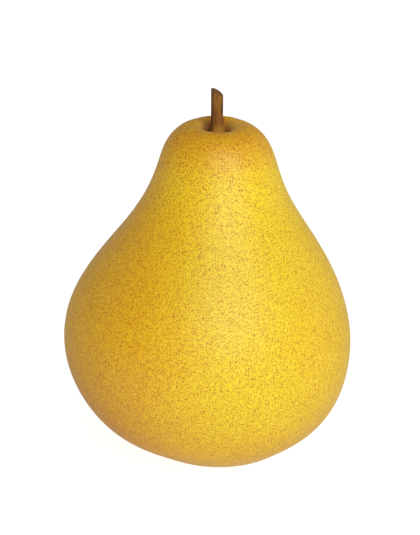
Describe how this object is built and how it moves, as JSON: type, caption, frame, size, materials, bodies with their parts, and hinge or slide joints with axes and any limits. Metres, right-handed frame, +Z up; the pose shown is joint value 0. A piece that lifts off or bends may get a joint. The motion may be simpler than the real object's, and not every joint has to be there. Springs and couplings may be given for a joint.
{
  "type": "pear",
  "caption": "Whole ripe pear with a round belly, a short tapering neck, a cut woody stem and a dried calyx; stands on a small flat spot around the calyx basin.",
  "frame": {"origin": "on the surface that the pear rests on, under the middle of its girth, which is the bottom centre of its bounding box", "axes": "+Z up from the resting spot to the stem; +X towards the side that the stem and the resting spot are shifted to, with the fuller cheek at -X; -Y is the front"},
  "size_m": [0.072, 0.072, 0.0948],
  "materials": {
    "skin": "satin",
    "stem_wood": "matte",
    "dried_calyx": "matte"
  },
  "bodies": {
    "root": {"fruit": "skin", "stem": "stem_wood", "calyx": "dried_calyx"}
  },
  "joints": []
}
